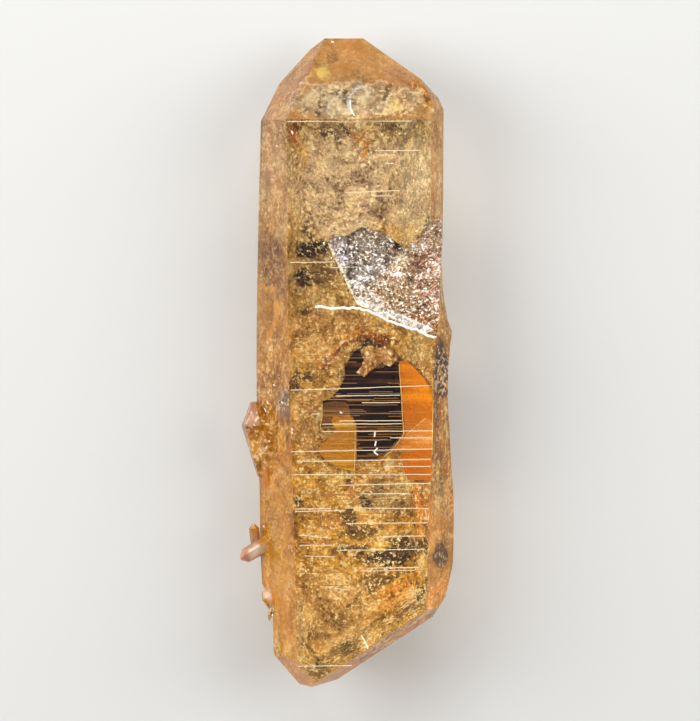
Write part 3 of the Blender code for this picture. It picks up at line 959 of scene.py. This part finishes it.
def ridge_tree():
    """Geometry nodes that lay a thin uneven ridge along each path."""
    tree, given, out, node = new_tree("ridge_along_path", {
        "Ridge Width": 0.1, "Ridge Height": 0.03, "Point Spacing": 0.3, "Sideways Waver": 0.02,
        "Unevenness": 0.6,
    })

    def product(first, second):
        return calculated(tree, "MULTIPLY", first, second)

    curve = node("GeometryNodeMeshToCurve", Mesh=given.outputs["Geometry"])
    spacing = product(given.outputs["Point Spacing"], MM)
    even = node("GeometryNodeResampleCurve", mode="LENGTH", Curve=curve.outputs["Curve"], Length=spacing)
    place = node("GeometryNodeInputPosition")
    sway = node("ShaderNodeTexNoise", Vector=place.outputs["Position"], Scale=900.0, Detail=2.0)
    centred = calculated(tree, "SUBTRACT", sway.outputs["Fac"], 0.5)
    side = product(product(centred, given.outputs["Sideways Waver"]), 2 * MM)
    shift = node("ShaderNodeCombineXYZ", Y=side)
    moved = node("GeometryNodeSetPosition", Geometry=even.outputs["Curve"], Offset=shift.outputs["Vector"])
    breaks = node("ShaderNodeTexNoise", Vector=place.outputs["Position"], Scale=1500.0, Detail=3.0)
    gain = ranged(tree, breaks.outputs["Fac"], 0.4, 0.6, 0.0, 1.6)
    plain = calculated(tree, "SUBTRACT", 1.0, given.outputs["Unevenness"])
    uneven = calculated(tree, "ADD", plain, product(gain, given.outputs["Unevenness"]))
    strength = node("GeometryNodeInputNamedAttribute", data_type="FLOAT", Name="strength")
    radius = calculated(tree, "MAXIMUM", product(uneven, strength.outputs["Attribute"]), 0.04)
    sized = node("GeometryNodeSetCurveRadius", Curve=moved.outputs["Geometry"], Radius=radius)
    ring = node("GeometryNodeCurvePrimitiveCircle", Resolution=6, Radius=MM)
    half = product(given.outputs["Ridge Width"], 0.5)
    flat = node("ShaderNodeCombineXYZ", X=half, Y=given.outputs["Ridge Height"], Z=1.0)
    profile = node("GeometryNodeTransform", Geometry=ring.outputs["Curve"], Scale=flat.outputs["Vector"])
    swept = node("GeometryNodeCurveToMesh")
    join(tree, sized.outputs["Curve"], swept.inputs["Curve"])
    join(tree, profile.outputs["Geometry"], swept.inputs["Profile Curve"])
    swept.inputs["Fill Caps"].default_value = True
    return end_tree(tree, given, out, node, swept.outputs["Mesh"])


def grown(name, mesh, tree, look, **settings):
    """The piece that a geometry nodes tree makes from a mesh."""
    start = bpy.data.objects.new(name + "_start", mesh)
    bpy.context.scene.collection.objects.link(start)
    modifier = start.modifiers.new("grow", "NODES")
    modifier.node_group = tree
    settings["Look"] = look
    for item in tree.interface.items_tree:
        label = item.name.replace(" ", "_")
        if item.in_out == "INPUT" and label in settings:
            modifier[item.identifier] = settings[label]
    evaluated = start.evaluated_get(bpy.context.evaluated_depsgraph_get())
    made = bpy.data.meshes.new_from_object(evaluated)
    made.name = name
    bpy.data.objects.remove(start)
    return placed(name, made, look)


def line_paths():
    """The growth lines as paths on the front face."""
    return [
        (((left, left_y, FRONT), strength), ((right, right_y, FRONT), strength))
        for left, left_y, right, right_y, strength in GROWTH_LINES
    ]


def fine_paths():
    """Fine growth lines, closest together over the window."""
    rng = random.Random(11)
    paths = []
    for _ in range(MOST_FINE_LINES):
        y = rng.gauss(-9.0, 8.0)
        middle = rng.uniform(-4.0, 8.0)
        half = rng.uniform(0.6, 4.5)
        left, right = max(-6.2, middle - half), min(9.6, middle + half)
        if not -27.0 < y < 1.5 or right - left < 0.8:
            continue
        lean = rng.uniform(-0.05, 0.1) * (right - left) / 16
        ends = ((left, y, FRONT), (right, y + lean, FRONT))
        paths.append([(end, rng.uniform(0.2, 0.6)) for end in ends])
    return paths


ridges = ridge_tree()
# The growth lines' pale colour is a painted highlight.
line_highlight, _ = material("pearly_edge", Base_Color=(*linear(250, 234, 200), 1), Roughness=0.25)
golden_edge, _ = material("golden_edge", Base_Color=(*linear(160, 112, 54), 1), Roughness=0.3)
grown(
    "growth_lines", path_mesh("growth_lines", line_paths()), ridges, line_highlight,
    Ridge_Width=0.078, Ridge_Height=0.02, Point_Spacing=0.2, Sideways_Waver=0.05, Unevenness=0.85,
)
grown(
    "fine_growth_lines", path_mesh("fine_growth_lines", fine_paths()), ridges, golden_edge,
    Ridge_Width=0.06, Ridge_Height=0.012, Point_Spacing=0.3, Sideways_Waver=0.05, Unevenness=0.9,
)


# The broken face: its patches of colour, with painted glints and a painted shadow among them, and the pale
# line along its lower lip
BREAK_ZONES = (
    ("lilac_left", (-0.6, 12.8), (1.8, 1.6), -50, (164, 152, 152), 0.9),
    ("dark_left_streak", (-0.3, 12.9), (0.9, 0.25), 0, (66, 56, 58), 0.9),
    ("grey_round", (2.5, 12.8), (2.1, 2.3), 0, (150, 136, 120), 0.8),
    ("olive_touch", (2.0, 12.4), (0.7, 0.6), 0, (142, 112, 60), 0.7),
    # The three white blobs are painted glints on the break.
    ("glint_blob", (2.7, 10.8), (0.5, 0.3), 0, (252, 248, 244), 1.0),
    ("glint_blob_low", (2.3, 9.7), (1.0, 0.2), 0, (250, 244, 238), 1.0),
    ("white_blob_left", (-0.2, 12.1), (0.5, 0.2), 0, (250, 244, 244), 1.0),
    # The black corner is painted shadow under the break's upper edge.
    ("shaded_corner", (5.8, 13.6), (1.0, 0.5), -35, (70, 60, 56), 0.9),
    ("cream_band", (6.6, 12.0), (0.9, 1.7), -30, (204, 174, 134), 0.9),
    ("rosy_right", (9.6, 9.6), (2.6, 3.4), 0, (182, 136, 104), 0.9),
    ("tan_low", (5.6, 8.0), (3.0, 2.0), -20, (182, 146, 104), 0.8),
    ("pale_low_left", (2.3, 7.4), (1.4, 1.1), -40, (214, 190, 164), 0.9),
    ("rust_low_right", (9.2, 4.6), (2.2, 0.8), -22, (168, 112, 62), 0.9),
)
BREAK_STROKES = (
    ("groove", ((4.7, 13.6), (4.6, 11.9), (4.8, 10.7)), 0.13, (84, 56, 40), 0.9),
    ("groove_left", ((0.5, 14.9), (0.3, 13.6), (0.9, 12.4), (2.2, 11.6)), 0.13, (96, 64, 46), 0.8),
    ("left_rim", ((-2.0, 13.6), (-0.2, 10.1), (1.1, 6.9)), 0.22, (224, 206, 176), 0.9),
    ("curve_edge", ((7.6, 13.2), (6.4, 12.4), (5.8, 11.2), (6.2, 10.2)), 0.16, (240, 224, 200), 0.8),
    ("slope_edge", ((1.8, 8.6), (4.2, 6.6), (7.2, 5.0)), 0.14, (238, 222, 206), 0.8),
    ("lip_fuzz", ((1.3, 7.0), (3.6, 6.1), (6.2, 5.0), (9.4, 3.7)), 0.42, (246, 234, 222), 0.85),
)
BREAK_LIP = (
    ((-3.68, 6.45), 0.08), ((-2.6, 6.4), 0.2), ((-1.59, 6.38), 0.3), ((0.47, 6.25), 0.4),
    ((2.6, 6.01), 0.7),
    ((4.5, 5.01), 1.0), ((5.74, 4.54), 1.2), ((7.01, 4.11), 1.2), ((8.64, 3.5), 1.0), ((10.43, 2.85), 0.5),
)
UPPER_LIP = (((5.15, 5.75), 0.3), ((6.9, 5.12), 0.5), ((8.53, 4.37), 0.5), ((10.04, 3.61), 0.2))


# White marks and painted glints on the faces, made as small pale ridges: a path in mm and a strength
GLINTS_AND_WHITE_MARKS = (
    (((-8.55, -2.6), (-8.35, -2.75)), 1.1), (((-6.38, -7.7), (-6.3, -7.95)), 1.2),
    (((-6.4, -8.1), (-6.28, -8.35)), 1.1),
    (((-6.4, 26.9), (-6.25, 26.5)), 0.7), (((-8.2, 25.3), (-8.05, 25.1)), 0.6),
    (((-9.75, -19.2), (-9.65, -19.35)), 0.8),
    (((0.4, 30.5), (0.45, 29.6), (0.65, 29.0), (0.95, 28.65)), 1.0),
    (((1.73, -31.8), (2.02, -32.3), (2.48, -33.3)), 1.3), (((-1.85, 37.6), (-1.5, 37.55)), 0.8),
    (((-9.3, -4.6), (-9.15, -4.9)), 0.7), (((-9.6, -5.4), (-9.4, -5.8)), 0.7),
    (((-9.0, -9.2), (-9.5, -10.1)), 0.7),
    (((-7.6, -4.6), (-7.4, -4.8)), 0.7),
    (((3.29, -8.13), (3.24, -8.71)), 0.5), (((3.41, -9.17), (3.29, -9.75)), 0.35),
    (((3.59, -9.99), (3.18, -10.45)), 0.5),
    (((3.18, -10.45), (3.64, -10.8)), 0.4),
    (((-0.8, -5.8), (-0.52, -5.95)), 0.9),
)


def on_break(face):
    middle = face.calc_center_median() / MM
    return face.normal.z > 0.6 and -2.6 < middle.x and 2.0 < middle.y < 16.0 and 9.5 < middle.z < FRONT - 0.03


def broken_coating():
    """The floor of the break in small tilted facets. Their tilts differ each time this script runs."""
    bm = crystal_copy()
    bmesh.ops.delete(bm, geom=[face for face in bm.faces if not on_break(face)], context="FACES")
    refine(bm, 0.15)
    for vertex in bm.verts:
        place = vertex.co / MM
        flat = Vector((place.x, place.y * 1.3, 0)) * 3.0
        cell = noise.voronoi(flat)[1][0]
        tilt = noise.noise_vector(cell * 7.31)
        step = (flat - cell).dot(tilt) * 0.3 + tilt.z * 0.08
        vertex.co.z += (0.1 + step + noise.noise(place * 7) * 0.04) * MM
    # The bright and dark flecks of its crackle are painted sparkle: painted glints and painted dark
    # reflections.
    look = growth_material(
        "broken_coating", 3400.0, 800.0, linear(255, 248, 238), linear(56, 42, 36), 1.0,
        Roughness=0.3, Metallic=0.5,
    )
    made = finished("broken_coating", bm, look)
    places = points_of(made)
    share = smooth_step(2.0, 7.0, places[:, 0] + (9 - places[:, 1]) * 0.4)[:, None]
    tints = (1 - share) * np.array(linear(150, 134, 120)) + share * np.array(linear(180, 142, 104))
    store_tint(made, zoned(places, tints, BREAK_ZONES, BREAK_STROKES, 0.5))
    return made


def lip_path(points, above):
    """A path that follows the crystal's upper side."""
    return [((x, y, front_at(x, y)[0] + above), strength) for (x, y), strength in points]


broken_coating()
# A pale white for the break's lip and for the painted glints.
lip_and_glint_white, _ = material("pale_lip", Base_Color=(*linear(252, 240, 228), 1), Roughness=0.3)
grown(
    "break_lip", path_mesh("break_lip", [lip_path(BREAK_LIP, 0.0), lip_path(UPPER_LIP, 0.05)]),
    ridges, lip_and_glint_white,
    Ridge_Width=0.3, Ridge_Height=0.06, Point_Spacing=0.08, Sideways_Waver=0.4, Unevenness=1.0,
)


def inner_path(points, depth):
    """A path that follows the crystal's underside at a depth in mm."""
    return [((x, y, height_inside(x, y, depth)), strength) for (x, y), strength in points]


inner_gold, _ = material("pale_gold_edge", Base_Color=(*seen_inside(255, 214, 140), 1), Roughness=0.3)
grown(
    "pane_edges", path_mesh("pane_edges", [
        inner_path([(place, strength) for place in path], PANE_DEPTH + 0.2) for path, strength in PANE_EDGES
    ]), ridges, inner_gold,
    Ridge_Width=0.1, Ridge_Height=0.05, Point_Spacing=0.15, Sideways_Waver=0.06, Unevenness=0.6,
)
# Small pale ridges: white marks, and painted glints where a facet catches the light.
glint_and_mark_paths = [
    lip_path([(place, strength) for place in path], 0.02) for path, strength in GLINTS_AND_WHITE_MARKS
]
grown(
    "white_marks", path_mesh("white_marks", glint_and_mark_paths), ridges, lip_and_glint_white,
    Ridge_Width=0.17, Ridge_Height=0.04, Point_Spacing=0.08, Sideways_Waver=0.05, Unevenness=0.8,
)


# Bright grains

def grain_tree():
    """Geometry nodes that strew small turned plates over a surface."""
    tree, given, out, node = new_tree("strewn_grains", {
        "Grains Per Square Millimetre": 1.0, "Smallest": 0.05, "Largest": 0.15, "Seed": 3,
    })
    seed = given.outputs["Seed"]
    place = node("GeometryNodeInputPosition")
    clump = node("ShaderNodeTexNoise", Vector=place.outputs["Position"], Scale=420.0, Detail=3.0)
    dense = ranged(tree, clump.outputs["Fac"], 0.42, 0.62, 0.1, 2.2)
    per_area = calculated(tree, "MULTIPLY", given.outputs["Grains Per Square Millimetre"], 1 / MM ** 2)
    points = node("GeometryNodeDistributePointsOnFaces", Mesh=given.outputs["Geometry"], Seed=seed)
    join(tree, calculated(tree, "MULTIPLY", dense, per_area), points.inputs["Density"])
    plate = node("GeometryNodeMeshCylinder", Vertices=5, Radius=MM, Depth=0.4 * MM)
    turn = node("FunctionNodeRandomValue", data_type="FLOAT_VECTOR")
    turn.inputs["Max"].default_value = (math.tau, math.tau, math.tau)
    join(tree, seed, turn.inputs["Seed"])
    size = node("FunctionNodeRandomValue", data_type="FLOAT")
    join(tree, given.outputs["Smallest"], size.inputs[2])
    join(tree, given.outputs["Largest"], size.inputs[3])
    join(tree, seed, size.inputs["Seed"])
    euler = node("FunctionNodeEulerToRotation", Euler=turn.outputs["Value"])
    strewn = node(
        "GeometryNodeInstanceOnPoints", Points=points.outputs["Points"], Instance=plate.outputs["Mesh"],
        Rotation=euler.outputs["Rotation"], Scale=size.outputs[1],
    )
    return end_tree(tree, given, out, node, strewn.outputs["Instances"])


grains = grain_tree()
glint, _ = material("cream_glint", Base_Color=(*seen_inside(255, 242, 196), 1), Roughness=0.2, Metallic=0.3)
grown(
    "growth_glints", growth.data.copy(), grains, glint,
    Grains_Per_Square_Millimetre=1.8, Smallest=0.03, Largest=0.15, Seed=3,
)


# Floor, light and camera

def floor():
    """The pale floor that the crystal lies on."""
    bm = bmesh.new()
    bmesh.ops.create_grid(bm, x_segments=1, y_segments=1, size=1.2)
    bmesh.ops.translate(bm, verts=bm.verts, vec=(0, 0, -0.00005))
    mesh = bpy.data.meshes.new("floor")
    bm.to_mesh(mesh)
    bm.free()
    made = bpy.data.objects.new("floor", mesh)
    bpy.context.scene.collection.objects.link(made)
    look, _ = material("pale_floor", Base_Color=(0.66, 0.66, 0.65, 1), Roughness=0.8)
    mesh.materials.append(look)


def softbox(name, place, width, height, watts):
    """A soft rectangular lamp that points at the crystal."""
    light = bpy.data.lights.new(name, "AREA")
    light.shape = "RECTANGLE"
    light.size, light.size_y = width, height
    light.energy = watts
    made = bpy.data.objects.new(name, light)
    made.location = place
    made.rotation_euler = (-Vector(place)).to_track_quat("-Z", "Y").to_euler()
    bpy.context.scene.collection.objects.link(made)


floor()
softbox("left_softbox", (-0.38, 0.06, 0.3), 0.3, 0.4, 2.15)
softbox("right_softbox", (0.38, 0.06, 0.3), 0.3, 0.4, 1.6)
softbox("top_softbox", (0.0, 0.45, 0.3), 0.4, 0.25, 1.6)

world = bpy.data.worlds.new("studio")
bpy.context.scene.world = world
world.use_nodes = True
world.node_tree.nodes["Background"].inputs["Color"].default_value = (1.0, 0.97, 0.93, 1)
world.node_tree.nodes["Background"].inputs["Strength"].default_value = 0.18

# The camera looks straight down, and the crystal is as large in the picture as in the photograph
camera = bpy.data.objects.new("camera", bpy.data.cameras.new("camera"))
bpy.context.scene.collection.objects.link(camera)
bpy.context.scene.camera = camera
camera.data.lens = 300
camera.data.sensor_width = 36
camera.location = (0.0003888, 0.0001851, 0.7122)
bpy.context.scene.view_settings.view_transform = "Standard"
